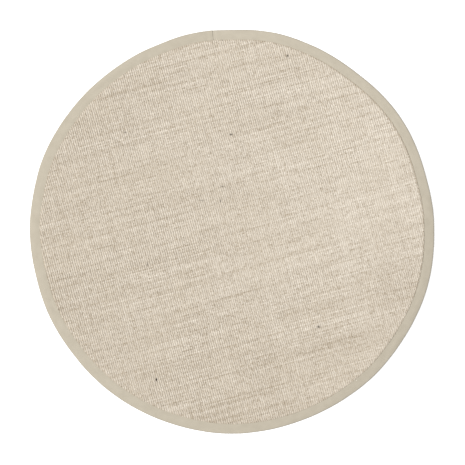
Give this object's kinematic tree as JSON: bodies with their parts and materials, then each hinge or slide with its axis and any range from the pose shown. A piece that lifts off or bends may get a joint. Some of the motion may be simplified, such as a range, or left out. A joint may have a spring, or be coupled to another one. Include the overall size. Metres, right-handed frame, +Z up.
{
  "type": "sisal rug",
  "caption": "Round flat floor rug of ribbed sisal weave, its edge bound all round with a plain folded cotton tape.",
  "frame": {"origin": "middle of the underside, on the floor", "axes": "+Z up, out of the walked-on face; +X and +Y lie in the floor; the ribs run 105 degrees anticlockwise from +X"},
  "size_m": [1.5019, 1.4999, 0.0075],
  "materials": {
    "sisal_weave": "matt looped sisal yarn in undyed cream and sand tones, in close ribs",
    "cotton_tape": "matt plain woven cotton tape, greyish sand"
  },
  "bodies": {
    "root": {"sisal_field": "sisal_weave", "border_tape": "cotton_tape"}
  },
  "joints": []
}
